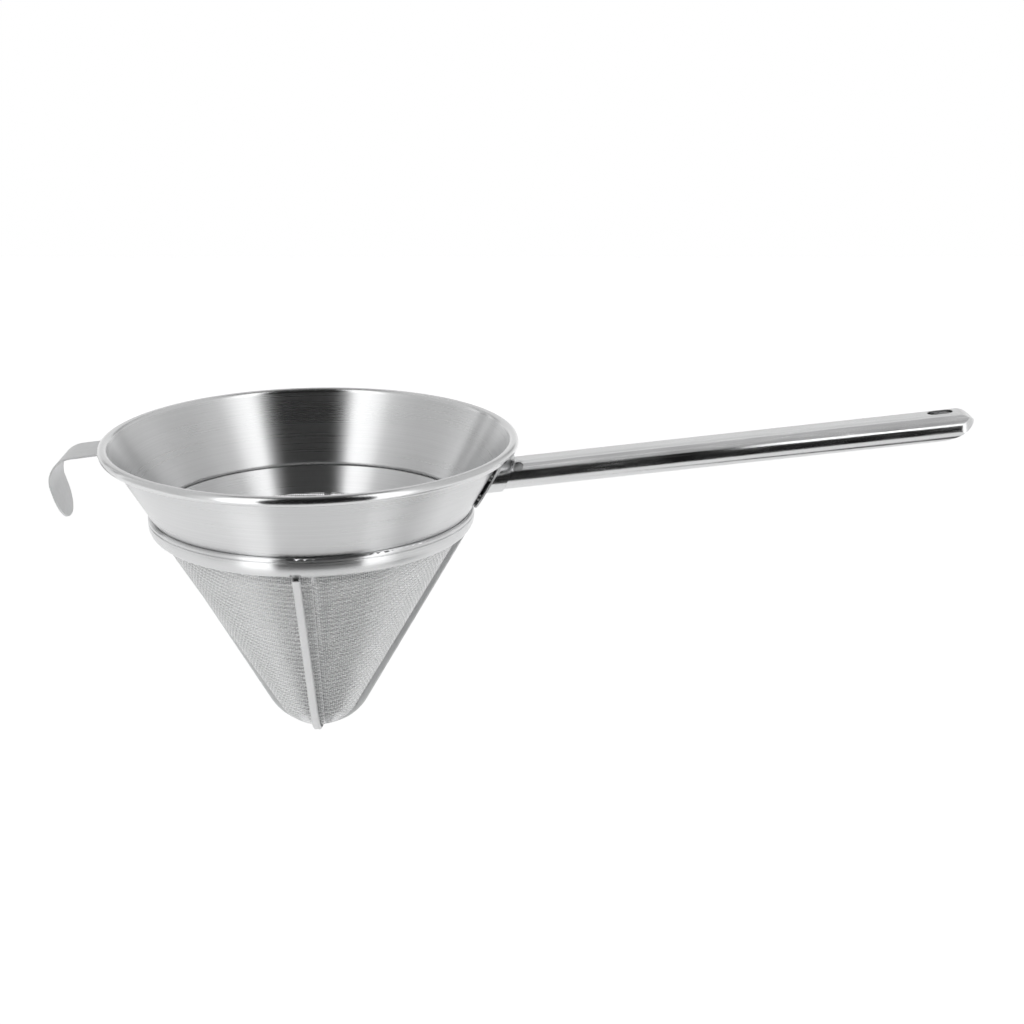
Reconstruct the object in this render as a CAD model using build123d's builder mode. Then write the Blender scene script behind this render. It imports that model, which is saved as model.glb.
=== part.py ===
from build123d import *
import os
from math import acos, cos, degrees, pi, radians, sin, tan

# Chinois strainer: a conical steel funnel with a cone of wire cloth under it,
# two crossing ribs, a hollow handle and a hook for the rim of a pot.
# Frame: millimetres, +Z up, origin at the centre of the rim's top plane.
# The handle points along +X and the hook along -X.

# Driving dimensions of the funnel
rim_diameter = 200.0
bead_diameter = 4.8
bead_wrap_angle = 300.0
sheet = 0.8
cone_half_angle = 30.0
wall_drop = 36.7
flange_width = 2.0
wall_bend_radius = 0.6

# Driving dimensions of the clamp that holds the cloth
ring_step = 0.5
ring_depth = 12.7
cloth_gap = 0.1
cloth_thickness = 0.76
band_side = 4.0
band_curve_radius = 6.1
band_corner_radius = 0.6
crease_drop = 2.1
crease_size = 0.5
notch_clearance = 0.7
notch_height = 2.5
notch_corner_radius = 1.2

# Driving dimensions of the cloth's windows and tip, and of the ribs
cloth_tip_radius = 22.3
cloth_bar = 4.2
windows_round = 16
window_rows = 5
rib_width = 3.7
rib_thickness = 3.2
rib_wall = 0.7
rib_tip_thickness = 1.0
rib_edge_radius = 0.9
rib_entry = 3.3
rib_mouth_gap = 0.3

# Driving dimensions of the hook
hook_width = 26.5
hook_thickness = 1.0
hook_reach = 26.8
hook_fall_angle = 7.5
hook_leg_length = 31.5
hook_leg_lean = 16.7
hook_bend_radius = 12.0
hook_root_radius = 1.2
hook_tab_length = 12.0
hook_end_radius = 12.5
hook_weld_diameter = 4.0
hook_weld_spacing = 12.0

# Driving dimensions of the bracket that carries the handle
plate_width = 34.0
plate_length = 24.0
plate_thickness = 0.8
plate_corner_radius = 8.0
plate_drop = 22.0
plate_weld_diameter = 4.0
plate_weld_spacing = 27.0
plate_weld_pitch = 11.0
neck_rise = 3.6
neck_length = 8.2
neck_margin = 1.1
neck_wall = 1.6
tongue_length = 24.0

# Driving dimensions of the handle
handle_width = 20.3
handle_height = 13.3
handle_length = 223.5
handle_rise_angle = 6.5
handle_wall = 1.0
handle_root_slant = 20.0
handle_nose_flat = 2.0
nose_top_length = 10.5
nose_bottom_length = 22.0
nose_tip_height = 2.0
slot_length = 12.0
slot_width = 6.8
slot_setback = 15.6
handle_weld_diameter = 5.2
handle_weld_setback = 4.9
handle_weld_angle = 50.0
handle_weld_dish = 0.5

# Clearances between neighbours, how far a spot weld stands out, and the overrun of cuts
fit = 0.1
seat = 0.2
weld_proud = 0.2
overrun = 6.0

# The funnel's inner face is one cone, tangent to the bead's inner side.
half = radians(cone_half_angle)
bead_radius = bead_diameter / 2
bead_centre_r = rim_diameter / 2 - bead_radius
tangent_r = bead_centre_r - bead_radius * cos(half)
tangent_z = -bead_radius + bead_radius * sin(half)


def cone_r(z, out=0.0):
    """Radius at height z of the cone that lies `out` outside the wall's inner face."""
    return tangent_r + (z - tangent_z) * tan(half) + out / cos(half)


def cone_apex(out):
    """Height at which that cone would close to a point."""
    return tangent_z - tangent_r / tan(half) - out / sin(half)


# Offsets from the wall's inner face, outwards through ring, cloth and rib
ring_out = ring_step + sheet
cloth_in = ring_out + cloth_gap
cloth_out = cloth_in + cloth_thickness
rib_in = cloth_out + cloth_gap
rib_out = rib_in + rib_thickness
half_sheet = sheet / 2

# Funnel wall: one sheet path of flange, cone and curled bead, turned about the axis.
# The sheet turns out into the flange over a small round.
flange_mid_z = half_sheet - wall_drop
wall_foot = (cone_r(flange_mid_z, half_sheet), flange_mid_z)
curl_radius = bead_radius - half_sheet
curl_foot = (bead_centre_r - curl_radius * cos(half), -bead_radius + curl_radius * sin(half))

with BuildPart() as funnel_wall:
    with BuildSketch(Plane.XZ):
        with BuildLine():
            FilletPolyline(
                (wall_foot[0] + flange_width, flange_mid_z),
                wall_foot,
                curl_foot,
                radius=wall_bend_radius + half_sheet,
            )
            CenterArc((bead_centre_r, -bead_radius), curl_radius, 180 - cone_half_angle, -bead_wrap_angle)
        trace(line_width=sheet)
    revolve(axis=Axis.Z)

# Inner clamp ring: a plain conical band under the wall's flange
ring_top = -wall_drop
ring_bottom = ring_top - ring_depth

with BuildPart() as inner_clamp_ring:
    with BuildSketch(Plane.XZ):
        with BuildLine():
            Polyline(
                (cone_r(ring_top, ring_step), ring_top),
                (cone_r(ring_top, ring_out), ring_top),
                (cone_r(ring_bottom, ring_out), ring_bottom),
                (cone_r(ring_bottom, ring_step), ring_bottom),
                close=True,
            )
        make_face()
    revolve(axis=Axis.Z)

# Outer clamp band: its top laps over the wall's flange, its side is upright, and its
# lower part curls in until its edge meets the cloth. A fine crease runs round its side,
# and a notch takes the end of each rib.
band_mid_r = wall_foot[0] + flange_width + fit + half_sheet
band_top_mid = -wall_drop + sheet + seat + half_sheet
band_top_edge_r = cone_r(band_top_mid + half_sheet, sheet) + seat
band_side_foot = band_top_mid + half_sheet - band_side
curl_centre_r = band_mid_r - band_curve_radius
curl_centre_out = (curl_centre_r - cone_r(band_side_foot)) * cos(half)
edge_out = cloth_out + cloth_gap + half_sheet
band_turn = cone_half_angle + degrees(acos((edge_out - curl_centre_out) / band_curve_radius))
band_edge_z = band_side_foot - band_curve_radius * sin(radians(band_turn))
notch_top = band_edge_z - half_sheet + notch_height
crease_z = band_top_mid + half_sheet - crease_drop

with BuildPart() as notch_cutter:
    with BuildSketch(Plane.YZ):
        with Locations((0, notch_top - overrun)):
            Rectangle(rib_width + 2 * notch_clearance, 2 * overrun)
        fillet(vertices().group_by(Axis.Y)[-1], radius=notch_corner_radius)
    extrude(amount=rim_diameter / 2)

with BuildPart() as outer_clamp_band:
    with BuildSketch(Plane.XZ):
        with BuildLine():
            FilletPolyline(
                (band_top_edge_r, band_top_mid),
                (band_mid_r, band_top_mid),
                (band_mid_r, band_side_foot),
                radius=band_corner_radius,
            )
            JernArc((band_mid_r, band_side_foot), (0, -1), band_curve_radius, -band_turn)
        trace(line_width=sheet)
        with Locations((band_mid_r + half_sheet, crease_z)):
            Rectangle(crease_size, crease_size, rotation=45, mode=Mode.SUBTRACT)
    revolve(axis=Axis.Z)
    with PolarLocations(0, 4):
        add(notch_cutter.part, mode=Mode.SUBTRACT)

# Wire cloth: the envelope of the woven cone, with its rounded tip. A plain grid of windows
# stands for the open weave, and each rib lies on one of the bars between them.
cloth_top = ring_top - seat - cloth_thickness / 2 * sin(half)
cloth_mid = cloth_out - cloth_thickness / 2
cloth_mid_tip = cloth_tip_radius - cloth_thickness / 2
tip_centre_z = cone_apex(cloth_out) + cloth_tip_radius / sin(half)
cloth_pole = tip_centre_z - cloth_tip_radius
cloth_leg_end = (cloth_mid_tip * cos(half), tip_centre_z - cloth_mid_tip * sin(half))
window_foot = cloth_leg_end[1] + cloth_bar
window_pitch = (band_edge_z - window_foot) / window_rows
window_spread = tan(pi / windows_round)

with BuildPart() as window_cutter:
    for row in range(window_rows):
        low = window_foot + row * window_pitch
        high = low + window_pitch - cloth_bar
        half_low = cone_r(low, cloth_mid) * window_spread - cloth_bar / 2
        half_high = cone_r(high, cloth_mid) * window_spread - cloth_bar / 2
        with BuildSketch(Plane.YZ):
            with BuildLine():
                Polyline(
                    (-half_low, low),
                    (half_low, low),
                    (half_high, high),
                    (-half_high, high),
                    close=True,
                )
            make_face()
        extrude(amount=rim_diameter / 2)

with BuildPart() as wire_cloth_cone:
    with BuildSketch(Plane.XZ):
        with BuildLine():
            Line((cone_r(cloth_top, cloth_mid), cloth_top), cloth_leg_end)
            CenterArc((0, tip_centre_z), cloth_mid_tip, -cone_half_angle, cone_half_angle - 90)
        trace(line_width=cloth_thickness)
    revolve(axis=Axis.Z)
    with PolarLocations(0, windows_round, start_angle=180 / windows_round):
        add(window_cutter.part, mode=Mode.SUBTRACT)

# Ribs: two hollow hoops that follow the cloth and are pressed flat where they cross under
# its tip, the front and back one outside the other. Just below the band each leg has an
# open mouth, and its inner wall alone goes on as a tongue through the band's notch.
rib_top = band_edge_z + rib_entry
tongue_out = rib_in + rib_wall
mouth_base = band_edge_z - half_sheet - rib_mouth_gap + edge_out * sin(half)


def square_end(out, base):
    """The point at offset `out` of a cut square across a leg, `base` being its height at none."""
    height = base - out * sin(half)
    return cone_r(height, out), height


def mirrored(point):
    """The same point on the other leg."""
    return -point[0], point[1]


def tip_arc(out, pole):
    """Left end, pole and right end of the arc that closes a hoop's outline at the tip."""
    radius = (pole - cone_apex(out)) * sin(half) / (1 - sin(half))
    right = (radius * cos(half), pole + radius * (1 - sin(half)))
    return mirrored(right), (0, pole), right


def hoop(plane, inner_pole):
    """A hollow strap that runs down one side of the cone, under its tip and up the other."""
    in_left, in_low, in_right = tip_arc(rib_in, inner_pole)
    out_left, out_low, out_right = tip_arc(rib_out, inner_pole - rib_tip_thickness)
    tongue_tip = (cone_r(rib_top, rib_in), rib_top)
    tongue_back = (cone_r(rib_top, tongue_out), rib_top)
    mouth_in = square_end(tongue_out, mouth_base)
    mouth_out = square_end(rib_out, mouth_base)
    hollow_foot = out_right[1] + rib_out * sin(half)
    hollow_top = mouth_base + overrun
    right_side = [in_right, tongue_tip, tongue_back, mouth_in, mouth_out, out_right]
    with BuildPart() as strap:
        with BuildSketch(plane):
            with BuildLine():
                ThreePointArc(in_left, in_low, in_right)
                Polyline(*right_side)
                ThreePointArc(out_right, out_low, out_left)
                Polyline(*[mirrored(point) for point in reversed(right_side)])
            make_face()
        extrude(amount=rib_width / 2, both=True)
        outer_faces = faces().filter_by(lambda face: face.normal_at().Z < -sin(half) / 2)
        long_edges = outer_faces.edges().filter_by(lambda edge: edge.length > 2 * rib_width)
        fillet(long_edges, radius=rib_edge_radius)
        with BuildSketch(plane):
            with BuildLine():
                Polyline(
                    square_end(tongue_out, hollow_foot),
                    square_end(tongue_out, hollow_top),
                    square_end(rib_out - rib_wall, hollow_top),
                    square_end(rib_out - rib_wall, hollow_foot),
                    close=True,
                )
            make_face()
            mirror(about=Plane.YZ)
        extrude(amount=rib_width / 2 - rib_wall, both=True, mode=Mode.SUBTRACT)
    return strap.part


inner_hoop_pole = cloth_pole - cloth_gap
outer_hoop_pole = inner_hoop_pole - rib_tip_thickness - fit
left_right_rib = hoop(Plane.XZ, inner_hoop_pole)
front_back_rib = hoop(Plane.YZ, outer_hoop_pole)

# Hook: a strip whose tab lies on the wall under the bead, bent out and down
fall = radians(hook_fall_angle)
lean = radians(hook_leg_lean)
tab_mid = sheet + fit + hook_thickness / 2
strip_mid_z = -bead_diameter - seat - hook_thickness / 2 / cos(fall)
root_climb = (bead_centre_r - cone_r(strip_mid_z, tab_mid)) * tan(fall)
root_z = strip_mid_z + root_climb / (1 + tan(half) * tan(fall))
root_r = cone_r(root_z, tab_mid)
tab_end_z = root_z - hook_tab_length * cos(half)
bend_r = rim_diameter / 2 + hook_reach
bend_z = strip_mid_z - (bend_r - bead_centre_r) * tan(fall)
tip_r = bend_r - hook_leg_length * sin(lean)
tip_z = bend_z - hook_leg_length * cos(lean)
tab_weld_z = root_z - (hook_tab_length + hook_root_radius) / 2 * cos(half)
tab_plane = Plane(
    origin=(-cone_r(tab_weld_z, sheet), 0, tab_weld_z),
    x_dir=(0, 1, 0),
    z_dir=(-cos(half), 0, -sin(half)),
)
tab_weld_places = [(-hook_weld_spacing / 2, 0), (hook_weld_spacing / 2, 0)]

with BuildPart() as rim_hook:
    with BuildSketch(Plane.XZ):
        with BuildLine():
            FilletPolyline(
                (-cone_r(tab_end_z, tab_mid), tab_end_z),
                (-root_r, root_z),
                (-bend_r, bend_z),
                (-tip_r, tip_z),
                radius=[hook_root_radius + hook_thickness / 2, hook_bend_radius + hook_thickness / 2],
            )
        trace(line_width=hook_thickness)
    extrude(amount=hook_width / 2, both=True)
    corner_edges = edges().filter_by(lambda edge: edge.length < 2 * hook_thickness)
    fillet(corner_edges.group_by(Axis.Z)[0], radius=hook_end_radius)
    with BuildSketch(tab_plane):
        with Locations(*tab_weld_places):
            Circle(hook_weld_diameter / 2 + fit)
    extrude(amount=hook_thickness + 2 * fit, mode=Mode.SUBTRACT)

with BuildPart() as hook_weld_plugs:
    with BuildSketch(tab_plane.offset(fit)):
        with Locations(*tab_weld_places):
            Circle(hook_weld_diameter / 2)
    extrude(amount=hook_thickness + weld_proud)

# Bracket plate: flat, tangent to the wall along the line under the handle
plate_plane = Plane(
    origin=(cone_r(-plate_drop, sheet + fit), 0, -plate_drop),
    x_dir=(0, 1, 0),
    z_dir=(cos(half), 0, -sin(half)),
)

with BuildPart() as bracket_plate:
    with BuildSketch(plate_plane):
        RectangleRounded(plate_width, plate_length, plate_corner_radius)
    extrude(amount=plate_thickness)

# Weld nuggets bridge the gap between the flat plate and the round wall.
with BuildPart() as bracket_weld_nuggets:
    with BuildSketch(plate_plane.offset(-fit)):
        with GridLocations(plate_weld_spacing, plate_weld_pitch, 2, 2):
            Circle(plate_weld_diameter / 2)
    extrude(amount=-overrun)
    wall_skin = sheet + fit
    with BuildSketch(Plane.XZ):
        with BuildLine():
            Polyline(
                (0, 0),
                (cone_r(0, wall_skin), 0),
                (cone_r(-wall_drop, wall_skin), -wall_drop),
                (0, -wall_drop),
                close=True,
            )
        make_face()
    revolve(axis=Axis.Z, mode=Mode.SUBTRACT)

# Planes that carry the handle: its axis leaves the plate's outer face and rises gently.
rise = radians(handle_rise_angle)
handle_dir = Vector(cos(rise), 0, sin(rise))
handle_up = Vector(-sin(rise), 0, cos(rise))
plate_face = plate_plane.offset(plate_thickness)
neck_foot = plate_face.origin + plate_face.y_dir * neck_rise
root_point = neck_foot + handle_dir * neck_length
handle_flat = Plane(origin=root_point, x_dir=handle_dir, z_dir=handle_up)
handle_side = Plane(origin=root_point, x_dir=handle_dir, z_dir=(0, -1, 0))
handle_section = Plane(origin=root_point, x_dir=(0, 1, 0), z_dir=handle_dir)
slant = radians(handle_root_slant)
root_cut = Plane(origin=root_point, x_dir=(0, 1, 0), z_dir=(cos(slant), 0, -sin(slant)))
neck_seat = Plane(origin=neck_foot, x_dir=(0, 1, 0), z_dir=plate_face.z_dir)

# Handle tube: a flattened tube with full round sides and a closed nose, whose top curves
# down and whose bottom rises further back. The hollow has the same form, one wall
# thickness smaller, and opens at the root.
tongue_width = handle_width - 2 * (handle_wall + fit)
tongue_height = handle_height - 2 * (handle_wall + fit)
nose_corner_radius = (handle_width - handle_nose_flat) / 2
handle_back = -handle_height - overrun


def handle_form(inset):
    """The handle's full form, drawn in by `inset` on every side and longer at the root."""
    length = handle_length - inset
    half_height = handle_height / 2 - inset
    top_start = (handle_length - nose_top_length, half_height)
    bottom_start = (handle_length - nose_bottom_length, -half_height)
    nose_tip = (length, nose_tip_height)
    with BuildPart() as form:
        with BuildSketch(handle_section.offset(handle_back)):
            SlotOverall(handle_width - 2 * inset, handle_height - 2 * inset)
        extrude(amount=length - handle_back)
        with BuildSketch(handle_side):
            with BuildLine():
                Polyline(top_start, (handle_back, half_height), (handle_back, -half_height), bottom_start)
                TangentArc(top_start, nose_tip, tangent=(1, 0))
                TangentArc(bottom_start, nose_tip, tangent=(1, 0))
            make_face()
        extrude(amount=handle_width, both=True, mode=Mode.INTERSECT)
        with BuildSketch(handle_flat):
            with Locations(((length + handle_back) / 2, 0)):
                Rectangle(length - handle_back, handle_width - 2 * inset)
            fillet(vertices().group_by(Axis.X)[-1], radius=nose_corner_radius - inset)
        extrude(amount=handle_height, both=True, mode=Mode.INTERSECT)
    return form.part


# Each weld sits on the upper shoulder of one side, square to the round of the section.
weld_tilt = radians(handle_weld_angle)
side_round_centre = Vector(0, (handle_height - handle_width) / 2, 0)
weld_plane = Plane(
    origin=root_point + handle_dir * handle_weld_setback + side_round_centre,
    x_dir=handle_dir,
    z_dir=Vector(0, -cos(weld_tilt), 0) + handle_up * sin(weld_tilt),
)

with BuildPart() as weld_bores:
    with BuildSketch(weld_plane):
        Circle(handle_weld_diameter / 2 + fit)
    extrude(amount=handle_height)
    mirror(about=Plane.XZ)

with BuildPart() as handle_tube:
    add(handle_form(0))
    add(handle_form(handle_wall), mode=Mode.SUBTRACT)
    split(bisect_by=root_cut, keep=Keep.TOP)
    with BuildSketch(handle_flat):
        with Locations((handle_length - slot_setback, 0)):
            SlotOverall(slot_length, slot_width)
    extrude(amount=handle_height, both=True, mode=Mode.SUBTRACT)
    add(weld_bores.part, mode=Mode.SUBTRACT)

# Bracket neck: a stout hollow shoulder from plate to tube, with a tongue inside the tube
with BuildPart() as bracket_neck:
    with BuildSketch(handle_section):
        SlotOverall(handle_width + 2 * neck_margin, handle_height + 2 * neck_margin)
    extrude(amount=neck_length + handle_height, both=True)
    split(bisect_by=root_cut.offset(-seat), keep=Keep.BOTTOM)
    with BuildSketch(handle_section.offset(-neck_length)):
        SlotOverall(tongue_width, tongue_height)
    extrude(amount=neck_length + tongue_length)
    split(bisect_by=neck_seat.offset(fit), keep=Keep.TOP)
    with BuildSketch(handle_section.offset(-neck_length - handle_height)):
        SlotOverall(tongue_width - 2 * neck_wall, tongue_height - 2 * neck_wall)
    extrude(amount=neck_length + handle_height + tongue_length, mode=Mode.SUBTRACT)

# Weld plugs fill the round hole in each shoulder of the tube, a little below its surface.
with BuildPart() as handle_weld_plugs:
    with BuildSketch(weld_plane):
        Circle(handle_weld_diameter / 2)
    extrude(amount=handle_height)
    add(handle_form(handle_weld_dish), mode=Mode.INTERSECT)
    add(handle_form(handle_wall), mode=Mode.SUBTRACT)
    mirror(about=Plane.XZ)

pieces = {
    "funnel_wall": funnel_wall.part,
    "inner_clamp_ring": inner_clamp_ring.part,
    "wire_cloth_cone": wire_cloth_cone.part,
    "outer_clamp_band": outer_clamp_band.part,
    "left_right_rib": left_right_rib,
    "front_back_rib": front_back_rib,
    "rim_hook": rim_hook.part,
    "hook_weld_plugs": hook_weld_plugs.part,
    "bracket_plate": bracket_plate.part,
    "bracket_weld_nuggets": bracket_weld_nuggets.part,
    "bracket_neck": bracket_neck.part,
    "handle_tube": handle_tube.part,
    "handle_weld_plugs": handle_weld_plugs.part,
}

os.makedirs("parts", exist_ok=True)
for name, piece in pieces.items():
    piece.label = name
    export_step(piece, f"parts/{name}.step")
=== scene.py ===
from math import cos, pi, radians, sin, sqrt, tan

import bpy
import numpy as np
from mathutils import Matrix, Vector


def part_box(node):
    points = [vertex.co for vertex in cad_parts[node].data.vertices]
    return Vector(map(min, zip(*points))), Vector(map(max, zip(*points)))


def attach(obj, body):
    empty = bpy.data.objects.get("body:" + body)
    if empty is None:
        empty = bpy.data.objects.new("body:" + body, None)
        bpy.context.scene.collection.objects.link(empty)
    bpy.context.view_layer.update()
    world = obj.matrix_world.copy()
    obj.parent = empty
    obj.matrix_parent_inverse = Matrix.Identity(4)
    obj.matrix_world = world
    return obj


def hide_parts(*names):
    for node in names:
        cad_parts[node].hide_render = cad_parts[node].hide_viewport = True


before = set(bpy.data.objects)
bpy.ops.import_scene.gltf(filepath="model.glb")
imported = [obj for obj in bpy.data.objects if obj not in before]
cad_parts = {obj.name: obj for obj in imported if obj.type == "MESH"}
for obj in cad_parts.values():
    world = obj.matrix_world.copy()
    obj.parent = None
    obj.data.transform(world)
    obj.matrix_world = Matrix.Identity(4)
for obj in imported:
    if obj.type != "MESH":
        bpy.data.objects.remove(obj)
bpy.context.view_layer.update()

# Chinois strainer, in metres, in the frame of the CAD model: the origin is the centre
# of the rim, +Z is up, +X runs along the handle and -Y points to the viewer.
mm = 0.001

# Camera
camera_place = (96.8 * mm, -832.6 * mm, 228.3 * mm)
camera_elevation = radians(17.748)
camera_focal_px = 1800.0
image_px = 1024.0
sensor_width = 36.0
camera_near = 10 * mm
camera_far = 100.0

# Rim bead, and the distances from its centre ring, as shares of its radius, over which
# its finish passes into the wall's
bead_radius = 2.4 * mm
bead_centre_radius = 97.6 * mm
bead_finish_shares = (1.04, 1.1)

# Wire cloth
cone_half_angle = radians(30.0)
cloth_thickness = 0.76 * mm
wire_radius = 0.19 * mm
wire_pitch = 1.0 * mm
wire_sides = 4
# Every row_group-th wire across the cloth gets a paler steel: a painted highlight in rows, not a
# different wire.
row_group = 3
least_crossings = 3
seam_azimuth = radians(-87.5)
lap_width = 4.3 * mm
lap_climb = 1.0 * mm
lap_start = 16.0 * mm

# Finishes: tone and rough are the lowest and highest base colour and roughness, grain and
# cloud the frequencies of the brushing and of its slow change along X, Y and Z, in cycles
# per metre, and bump is the height of the brushing. A tilt turns the grain about Y.
steel_tint = (0.99, 0.995, 1.0)
noise_range = (0.3, 0.7)
noise_detail = 3.0
handle_tilt = radians(6.5)
steel_finishes = {
    "satin_steel": dict(
        tone=(0.64, 0.74),
        rough=(0.26, 0.31),
        grain=(6, 6, 2600),
        cloud=(14, 14, 60),
        bump=0.0004 * mm,
        anisotropy=1.0,
        turn=0.25,
        bead=0.2,
    ),
    "polished_steel": dict(
        tone=(0.58, 0.7),
        rough=(0.1, 0.32),
        grain=(60, 1500, 1500),
        cloud=(20, 80, 80),
        bump=0.002 * mm,
        tilt=handle_tilt,
    ),
    "strap_steel": dict(
        tone=(0.68, 0.76),
        rough=(0.55, 0.65),
        grain=(300, 300, 300),
        cloud=(60, 60, 60),
        bump=0.001 * mm,
    ),
    "wire_steel": dict(
        tone=(0.6, 0.7),
        rough=(0.2, 0.3),
        grain=(900, 900, 900),
        cloud=(40, 40, 40),
        bump=0.0005 * mm,
    ),
    # Painted highlight: a paler steel for every row_group-th wire across the cloth, standing in
    # for rows of light on the weave.
    "highlight_painted_wire_steel": dict(
        tone=(0.86, 0.94),
        rough=(0.3, 0.4),
        grain=(900, 900, 900),
        cloud=(40, 40, 40),
        bump=0.0005 * mm,
    ),
    "weld_steel": dict(
        tone=(0.28, 0.4),
        rough=(0.25, 0.35),
        grain=(1200, 1200, 1200),
        cloud=(400, 400, 400),
        bump=0.01 * mm,
    ),
}
finish_of_node = {
    "funnel_wall": "satin_steel",
    "inner_clamp_ring": "satin_steel",
    "outer_clamp_band": "satin_steel",
    "wire_cloth_cone": "wire_steel",
    "left_right_rib": "strap_steel",
    "front_back_rib": "strap_steel",
    "rim_hook": "strap_steel",
    "hook_weld_plugs": "weld_steel",
    "bracket_plate": "strap_steel",
    "bracket_weld_nuggets": "weld_steel",
    "bracket_neck": "polished_steel",
    "handle_tube": "polished_steel",
    "handle_weld_plugs": "weld_steel",
}

# Floor
floor_drop = 450.0 * mm
floor_front = -700.0 * mm
floor_back = 4000.0 * mm
floor_side = 4000.0 * mm
floor_colour = 0.9
floor_glow = 0.46

# Studio: tones by azimuth in degrees, 0 being the viewer's side and + the handle's, and the
# elevations in degrees over which the walls pass into the ceiling. The backdrop is what the
# steel sees behind the object: the elevations below which it starts and is full, and how
# far back a direction points there.
studio_strength = 2.0
studio_tones = [
    (-180, 0.44),
    (-150, 0.42),
    (-142, 0.36),
    (-139, 0.2),
    (-134, 0.2),
    (-130, 0.5),
    (-127, 0.5),
    (-124, 0.16),
    (-119, 0.16),
    (-116, 0.6),
    (-112, 0.6),
    (-108, 0.36),
    (-66, 0.34),
    (-48, 0.5),
    (-42, 1.0),
    (-23, 1.0),
    (-21, 0.005),
    (39.5, 0.005),
    (41.5, 1.0),
    (56, 0.95),
    (66, 0.44),
    (90, 0.34),
    (130, 0.37),
    (144, 0.37),
    (149, 0.2),
    (158, 0.2),
    (163, 0.44),
    (180, 0.44),
]
overhead_tone = 0.06
overhead_from, overhead_to = 62.0, 70.0
backdrop_from, backdrop_to = 12.0, 4.0
behind_from, behind_to = 0.3, 0.5

# Lamps of the handle alone: a bright strip beside its far half and a soft panel above it.
# The length runs along the handle, and the power is in watts.
lit_nodes = ("handle_tube", "bracket_neck", "handle_weld_plugs")
handle_lamps = {
    "strip_lamp": dict(
        place=(314 * mm, -150 * mm, 84 * mm),
        target=(314 * mm, -5 * mm, 0.0),
        length=192 * mm,
        width=40 * mm,
        power=0.058,
    ),
    "panel_lamp": dict(
        place=(275 * mm, -100 * mm, 300 * mm),
        target=(275 * mm, -100 * mm, 0.0),
        length=600 * mm,
        width=520 * mm,
        power=0.5,
    ),
}

# Dark three-cornered card on the floor under the handle's far half, seen only in mirrors
card_corners = [
    (200 * mm, -190 * mm),
    (700 * mm, -190 * mm),
    (700 * mm, 220 * mm),
]
card_lift = 5 * mm
card_colour = 0.1
card_roughness = 0.9


# Helpers
def placed(name, data):
    """A new object of this data in the scene."""
    placed_object = bpy.data.objects.new(name, data)
    bpy.context.scene.collection.objects.link(placed_object)
    return placed_object


def new_material(name):
    material = bpy.data.materials.new(name)
    material.use_nodes = True
    return material, material.node_tree.nodes, material.node_tree.links


def math_node(nodes, links, operation, first, second=0.0):
    """A Math node whose inputs are numbers or sockets."""
    node = nodes.new("ShaderNodeMath")
    node.operation = operation
    for socket, value in zip(node.inputs, (first, second)):
        if isinstance(value, bpy.types.NodeSocket):
            links.new(value, socket)
        else:
            socket.default_value = value
    return node.outputs[0]


def length_of(nodes, links, first, second):
    """The length of a vector with these two parts."""
    squares = [math_node(nodes, links, "MULTIPLY", part, part) for part in (first, second)]
    return math_node(nodes, links, "SQRT", math_node(nodes, links, "ADD", *squares))


def stretched_noise(nodes, links, frequency, tilt):
    """Noise in object space, with its own frequency along each axis, in cycles per metre."""
    place = nodes.new("ShaderNodeTexCoord")
    mapping = nodes.new("ShaderNodeMapping")
    mapping.inputs["Rotation"].default_value = (0.0, tilt, 0.0)
    turned = nodes.new("ShaderNodeVectorMath")
    turned.operation = "MULTIPLY"
    turned.inputs[1].default_value = frequency
    noise = nodes.new("ShaderNodeTexNoise")
    noise.inputs["Scale"].default_value = 1.0
    noise.inputs["Detail"].default_value = noise_detail
    links.new(place.outputs["Object"], mapping.inputs["Vector"])
    links.new(mapping.outputs["Vector"], turned.inputs[0])
    links.new(turned.outputs[0], noise.inputs["Vector"])
    return noise.outputs["Fac"]


def mapped(nodes, links, value, low, high, start, stop):
    """Maps start..stop to low..high, in a straight line and level beyond."""
    node = nodes.new("ShaderNodeMapRange")
    node.inputs["From Min"].default_value = start
    node.inputs["From Max"].default_value = stop
    node.inputs["To Min"].default_value = low
    node.inputs["To Max"].default_value = high
    links.new(value, node.inputs["Value"])
    return node.outputs["Result"]


def near_bead(nodes, links):
    """1 on the rolled bead of the rim and 0 elsewhere, by the distance from its centre ring."""
    place = nodes.new("ShaderNodeTexCoord")
    split = nodes.new("ShaderNodeSeparateXYZ")
    links.new(place.outputs["Object"], split.inputs[0])
    radius = length_of(nodes, links, split.outputs["X"], split.outputs["Y"])
    out = math_node(nodes, links, "SUBTRACT", radius, bead_centre_radius)
    up = math_node(nodes, links, "ADD", split.outputs["Z"], bead_radius)
    distance = length_of(nodes, links, out, up)
    start, stop = (bead_radius * share for share in bead_finish_shares)
    return mapped(nodes, links, distance, 1.0, 0.0, start, stop)


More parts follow.
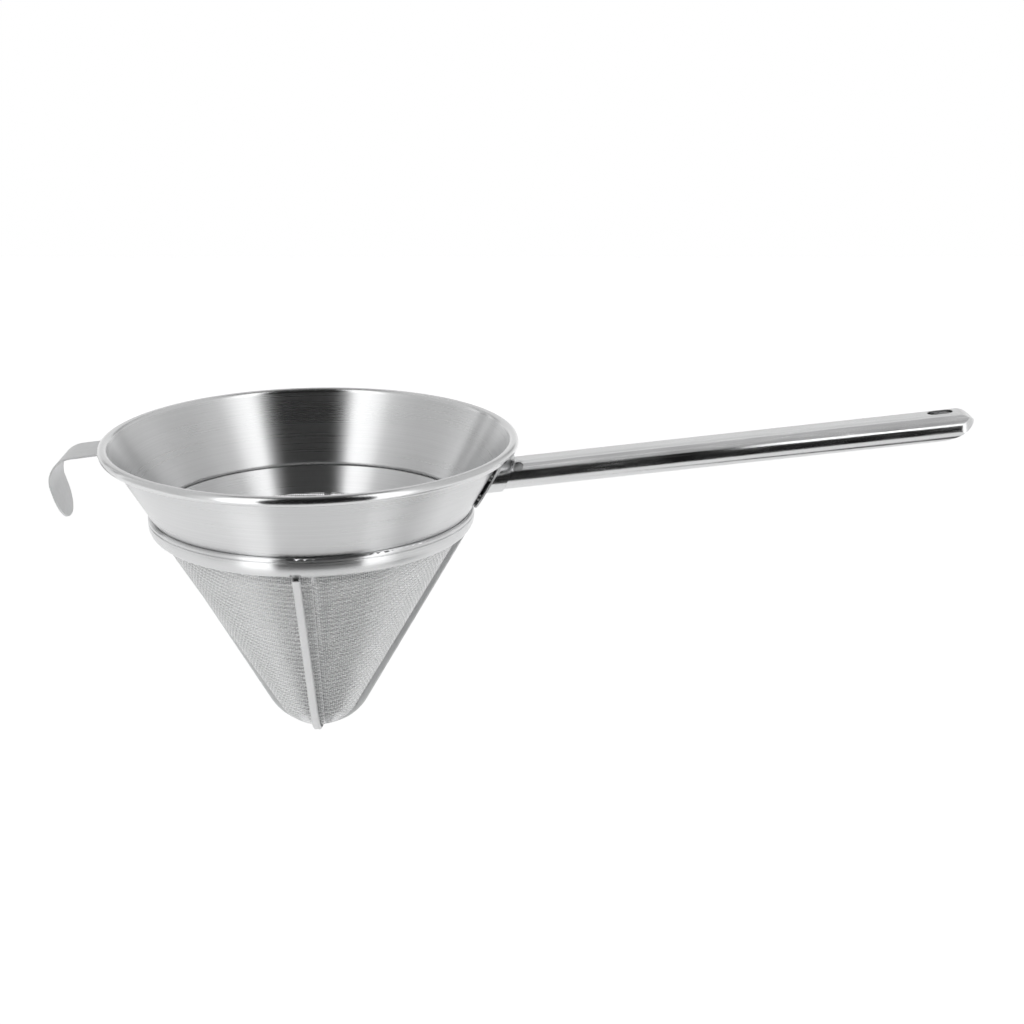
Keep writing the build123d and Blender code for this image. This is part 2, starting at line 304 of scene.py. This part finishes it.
def steel(name, tone, rough, grain, cloud, bump, tilt=0.0, anisotropy=0.0, turn=0.0, bead=None):
    """Bare steel: grain is the brushing, cloud is the slow change of tone and gloss.

    bead is the roughness on the rim's bead, where it differs.
    """
    material, nodes, links = new_material(name)
    shader = nodes["Principled BSDF"]
    shader.inputs["Metallic"].default_value = 1.0
    shader.inputs["Anisotropic"].default_value = anisotropy
    shader.inputs["Anisotropic Rotation"].default_value = turn
    lines = stretched_noise(nodes, links, grain, tilt)
    clouds = stretched_noise(nodes, links, cloud, tilt)
    mixed = math_node(nodes, links, "ADD", lines, clouds)
    mixed = math_node(nodes, links, "MULTIPLY", mixed, 0.5)
    value = mapped(nodes, links, mixed, *tone, *noise_range)
    colour = nodes.new("ShaderNodeCombineColor")
    for channel, share in zip(colour.inputs, steel_tint):
        links.new(math_node(nodes, links, "MULTIPLY", value, share), channel)
    links.new(colour.outputs["Color"], shader.inputs["Base Color"])
    roughness = mapped(nodes, links, mixed, *rough, *noise_range)
    if bead is not None:
        mix = nodes.new("ShaderNodeMix")
        mix.inputs["B"].default_value = bead
        links.new(near_bead(nodes, links), mix.inputs["Factor"])
        links.new(roughness, mix.inputs["A"])
        roughness = mix.outputs["Result"]
    links.new(roughness, shader.inputs["Roughness"])
    relief = nodes.new("ShaderNodeBump")
    relief.inputs["Strength"].default_value = 1.0
    relief.inputs["Distance"].default_value = bump
    links.new(lines, relief.inputs["Height"])
    links.new(relief.outputs["Normal"], shader.inputs["Normal"])
    if anisotropy:
        tangent = nodes.new("ShaderNodeTangent")
        tangent.direction_type = "RADIAL"
        tangent.axis = "Z"
        links.new(tangent.outputs["Tangent"], shader.inputs["Tangent"])
    return material


# Materials of the CAD pieces
steels = {name: steel(name, **values) for name, values in steel_finishes.items()}
for node_name, finish in finish_of_node.items():
    for material_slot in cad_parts[node_name].material_slots:
        material_slot.material = steels[finish]

# Wire cloth: a flat half disc of woven wire, wrapped into the cone with its round tip
cloth_low, cloth_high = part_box("wire_cloth_cone")
rim_z = cloth_high.z - cloth_thickness * sin(cone_half_angle)
outer_apex = rim_z - cloth_high.x / tan(cone_half_angle)
outer_tip_radius = cloth_low.z - outer_apex
mid_apex = outer_apex + cloth_thickness / 2 / sin(cone_half_angle)
mid_tip_radius = outer_tip_radius - cloth_thickness / 2
tip_centre = cloth_low.z + outer_tip_radius
tangent_slant = mid_tip_radius / tan(cone_half_angle)
disc_radius = (cloth_high.z - mid_apex) / cos(cone_half_angle) - cloth_thickness
ring_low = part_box("inner_clamp_ring")[0]
under_end = (ring_low.z - mid_apex) / cos(cone_half_angle) - 2 * lap_climb


def wrapped(flat_x, flat_y):
    """Points and outward normals on the cone of points of the flat half disc."""
    slant = np.hypot(flat_x, flat_y)
    azimuth = seam_azimuth + np.arctan2(flat_y, flat_x) / sin(cone_half_angle)
    polar = (pi / 2 - cone_half_angle) * np.minimum(slant / tangent_slant, 1.0)
    in_tip = slant < tangent_slant
    radius = np.where(in_tip, mid_tip_radius * np.sin(polar), slant * sin(cone_half_angle))
    height = np.where(
        in_tip,
        tip_centre - mid_tip_radius * np.cos(polar),
        mid_apex + slant * cos(cone_half_angle),
    )
    outward, along = np.cos(azimuth), np.sin(azimuth)
    points = np.stack([radius * outward, radius * along, height], axis=1)
    normals = np.stack([np.sin(polar) * outward, np.sin(polar) * along, -np.cos(polar)], axis=1)
    return points, normals


def wire_rings(flat_x, flat_y, lift):
    """The corner points of one wire's sections, ring by ring."""
    points, normals = wrapped(flat_x, flat_y)
    points = points + normals * lift[:, None]
    along = np.gradient(points, axis=0)
    side = np.cross(along, normals)
    side /= np.linalg.norm(side, axis=1)[:, None]
    corner = wire_radius * sqrt(2)
    angles = (np.arange(wire_sides) + 0.5) * 2 * pi / wire_sides
    rings = [points + corner * (side * cos(a) + normals * sin(a)) for a in angles]
    return np.stack(rings, axis=1)


def wire_piece(name, wires, material):
    """One mesh of many wires, each a list of section rings with a cap at both ends."""
    corners, quads, first = [], [], 0
    steps = np.arange(wire_sides)
    for rings in wires:
        count = len(rings)
        corners.append(rings.reshape(-1, 3))
        start = first + np.arange(count - 1)[:, None] * wire_sides
        near, far = start + steps, start + (steps + 1) % wire_sides
        sides = np.stack([near, far, far + wire_sides, near + wire_sides], axis=2)
        quads.append(sides.reshape(-1, wire_sides))
        quads.append(np.array([first + steps[::-1], first + (count - 1) * wire_sides + steps]))
        first += count * wire_sides
    corners, quads = np.concatenate(corners), np.concatenate(quads)
    mesh = bpy.data.meshes.new(name)
    mesh.vertices.add(len(corners))
    mesh.vertices.foreach_set("co", corners.ravel())
    mesh.loops.add(quads.size)
    mesh.loops.foreach_set("vertex_index", quads.ravel())
    mesh.polygons.add(len(quads))
    mesh.polygons.foreach_set("loop_start", np.arange(0, quads.size, wire_sides))
    mesh.polygons.foreach_set("use_smooth", np.ones(len(quads), bool))
    mesh.update(calc_edges=True)
    mesh.materials.append(material)
    piece = placed(name, mesh)
    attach(piece, "root")
    return piece


def lattice(limit):
    """Places of the crossings within limit of the centre, half a pitch off it."""
    count = int(limit / wire_pitch + 0.5)
    return (np.arange(-count, count) + 0.5) * wire_pitch


def crimp(flat_x, flat_y):
    """Plain weave: over and under at every other crossing."""
    column = np.floor(flat_x / wire_pitch)
    row = np.floor(flat_y / wire_pitch)
    return np.where((column + row) % 2 == 0, wire_radius, -wire_radius)


def ramp(value, start, stop):
    """0 at start, 1 at stop, in a straight line between them and level beyond."""
    return np.clip((value - start) / (stop - start), 0.0, 1.0)


def tuck(flat_x, flat_y):
    """How far the lower layer of the lap lies inside the cone, on the disc's right half."""
    beside = ramp(flat_y, lap_width + lap_climb, lap_width)
    below_ring = ramp(flat_x, under_end + lap_climb, under_end)
    return np.where(flat_x > lap_start, beside * below_ring * cloth_thickness, 0.0)


def in_cloth(flat_x, flat_y):
    """Whether a crossing belongs to the cloth: half a disc, its lap, less the hidden layer."""
    in_disc = np.hypot(flat_x, flat_y) < disc_radius
    half_disc = flat_y > 0
    flap = (flat_x < -lap_start) & (flat_y > -lap_width)
    hidden = (flat_x > under_end) & (flat_y < lap_width)
    return in_disc & (half_disc | flap) & ~hidden


def one_wire(flat_x, flat_y, weave):
    """The rings of one wire as a list, empty where too few of its crossings are in the cloth."""
    kept = in_cloth(flat_x, flat_y)
    flat_x, flat_y = flat_x[kept], flat_y[kept]
    if len(flat_x) < least_crossings:
        return []
    lift = weave * crimp(flat_x, flat_y) - tuck(flat_x, flat_y)
    return [wire_rings(flat_x, flat_y, lift)]


def woven_cone():
    """The wires along the flat disc's straight edge, and those across it."""
    along_wires, across_wires = [], []
    crossings = lattice(disc_radius)
    for place in crossings:
        fixed = np.full_like(crossings, place)
        along_wires += one_wire(crossings, fixed, 1)
        across_wires += one_wire(fixed, crossings, -1)
    return along_wires, across_wires


wire_steel, highlight_painted_wire_steel = steels["wire_steel"], steels["highlight_painted_wire_steel"]
along_wires, across_wires = woven_cone()
cloth_piece = wire_piece("wire_cloth_weft_even", along_wires[0::2], wire_steel)
wire_piece("wire_cloth_weft_odd", along_wires[1::2], wire_steel)
# Every row_group-th wire across gets the paler steel, a painted highlight along rows of the
# weave.
wire_piece("wire_cloth_warp_painted_highlight", across_wires[0::row_group], highlight_painted_wire_steel)
for step in range(1, row_group):
    wire_piece(f"wire_cloth_warp_{step}", across_wires[step::row_group], wire_steel)
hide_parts("wire_cloth_cone")


# Studio
def backdrop_rays(nodes, links):
    """Whether a ray comes from the camera, and whether it comes from metal or glass."""
    path = nodes.new("ShaderNodeLightPath")
    mirrors = (path.outputs["Is Glossy Ray"], path.outputs["Is Transmission Ray"])
    return path.outputs["Is Camera Ray"], math_node(nodes, links, "MAXIMUM", *mirrors)


def flat_mesh(name, corners):
    """A mesh of one face."""
    mesh = bpy.data.meshes.new(name)
    mesh.from_pydata(corners, [], [tuple(range(len(corners)))])
    return mesh


def studio_floor(level):
    """The floor: pale, well below the tip, and it keeps the object's shadow."""
    corners = [
        (-floor_side, floor_front, level),
        (floor_side, floor_front, level),
        (floor_side, floor_back, level),
        (-floor_side, floor_back, level),
    ]
    mesh = flat_mesh("studio_floor", corners)
    floor = placed("studio_floor", mesh)
    material, nodes, links = new_material("floor_white")
    nodes.remove(nodes["Principled BSDF"])
    diffuse = nodes.new("ShaderNodeBsdfDiffuse")
    diffuse.inputs["Color"].default_value = (floor_colour, floor_colour, floor_colour, 1.0)
    glow = nodes.new("ShaderNodeEmission")
    camera_ray, mirror_ray = backdrop_rays(nodes, links)
    seen = math_node(nodes, links, "MAXIMUM", camera_ray, mirror_ray)
    links.new(math_node(nodes, links, "MULTIPLY", seen, floor_glow), glow.inputs["Strength"])
    total = nodes.new("ShaderNodeAddShader")
    links.new(diffuse.outputs[0], total.inputs[0])
    links.new(glow.outputs[0], total.inputs[1])
    links.new(total.outputs[0], nodes["Material Output"].inputs["Surface"])
    mesh.materials.append(material)


def studio_world():
    """The steel sees grey walls with two soft boxes and a dark gap between them on the
    viewer's side, a dark ceiling, and white low at the back. The camera sees white.
    """
    world = bpy.data.worlds.new("studio")
    bpy.context.scene.world = world
    world.use_nodes = True
    nodes, links = world.node_tree.nodes, world.node_tree.links
    place = nodes.new("ShaderNodeTexCoord")
    split = nodes.new("ShaderNodeSeparateXYZ")
    links.new(place.outputs["Generated"], split.inputs[0])
    towards = math_node(nodes, links, "MULTIPLY", split.outputs["Y"], -1.0)
    azimuth = math_node(nodes, links, "ARCTAN2", split.outputs["X"], towards)
    turn = mapped(nodes, links, azimuth, 0.0, 1.0, -pi, pi)
    walls = nodes.new("ShaderNodeValToRGB")
    stops = walls.color_ramp.elements
    while len(stops) < len(studio_tones):
        stops.new(1.0)
    for stop, (degrees, tone) in zip(stops, studio_tones):
        stop.position = (degrees + 180) / 360
        stop.color = (tone, tone, tone, 1.0)
    links.new(turn, walls.inputs["Fac"])
    elevation = math_node(nodes, links, "ARCSINE", split.outputs["Z"])
    elevation = math_node(nodes, links, "DEGREES", elevation)
    overhead = mapped(nodes, links, elevation, 0.0, 1.0, overhead_from, overhead_to)
    ceiling = nodes.new("ShaderNodeMix")
    ceiling.inputs["B"].default_value = overhead_tone
    links.new(overhead, ceiling.inputs["Factor"])
    links.new(walls.outputs["Color"], ceiling.inputs["A"])
    studio = nodes["Background"]
    studio.inputs["Strength"].default_value = studio_strength
    links.new(ceiling.outputs["Result"], studio.inputs["Color"])
    white = nodes.new("ShaderNodeBackground")
    white.inputs["Color"].default_value = (1.0, 1.0, 1.0, 1.0)
    camera_ray, mirror_ray = backdrop_rays(nodes, links)
    behind = mapped(nodes, links, split.outputs["Y"], 0.0, 1.0, behind_from, behind_to)
    low = mapped(nodes, links, elevation, 0.0, 1.0, backdrop_from, backdrop_to)
    backdrop = math_node(nodes, links, "MULTIPLY", behind, low)
    mirrored = math_node(nodes, links, "MULTIPLY", mirror_ray, backdrop)
    seen = math_node(nodes, links, "MAXIMUM", camera_ray, mirrored)
    choice = nodes.new("ShaderNodeMixShader")
    links.new(seen, choice.inputs[0])
    links.new(studio.outputs[0], choice.inputs[1])
    links.new(white.outputs[0], choice.inputs[2])
    links.new(choice.outputs[0], nodes["World Output"].inputs["Surface"])


def handle_lamp(name, receivers, place, target, length, width, power):
    """An area lamp that lights only the receivers."""
    data = bpy.data.lights.new(name, "AREA")
    data.shape = "RECTANGLE"
    data.size = length
    data.size_y = width
    data.energy = power
    lamp = placed(name, data)
    lamp.location = place
    towards = Vector(target) - Vector(place)
    lamp.rotation_euler = towards.to_track_quat("-Z", "Y").to_euler()
    lamp.visible_camera = False
    lamp.light_linking.receiver_collection = receivers


def dark_card(level):
    """The card that the lower side of the handle's far half mirrors."""
    mesh = flat_mesh("dark_card", [(*corner, level) for corner in card_corners])
    card = placed("dark_card", mesh)
    material, nodes, links = new_material("card_black")
    shader = nodes["Principled BSDF"]
    shader.inputs["Base Color"].default_value = (card_colour, card_colour, card_colour, 1.0)
    shader.inputs["Roughness"].default_value = card_roughness
    mesh.materials.append(material)
    card.visible_camera = False
    card.visible_diffuse = False
    card.visible_shadow = False


floor_level = cloth_low.z - floor_drop
studio_floor(floor_level)
studio_world()
handle_pieces = bpy.data.collections.new("handle_pieces")
for node_name in lit_nodes:
    handle_pieces.objects.link(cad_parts[node_name])
for name, lamp_values in handle_lamps.items():
    handle_lamp(name, handle_pieces, **lamp_values)
dark_card(floor_level + card_lift)

# Camera at the photograph's viewing angle
camera_data = bpy.data.cameras.new("camera")
camera_data.sensor_width = sensor_width
camera_data.lens = sensor_width * camera_focal_px / image_px
camera_data.clip_start = camera_near
camera_data.clip_end = camera_far
camera = placed("camera", camera_data)
camera.location = camera_place
camera.rotation_euler = (pi / 2 - camera_elevation, 0.0, 0.0)
bpy.context.scene.camera = camera
bpy.context.scene.view_settings.view_transform = "Standard"
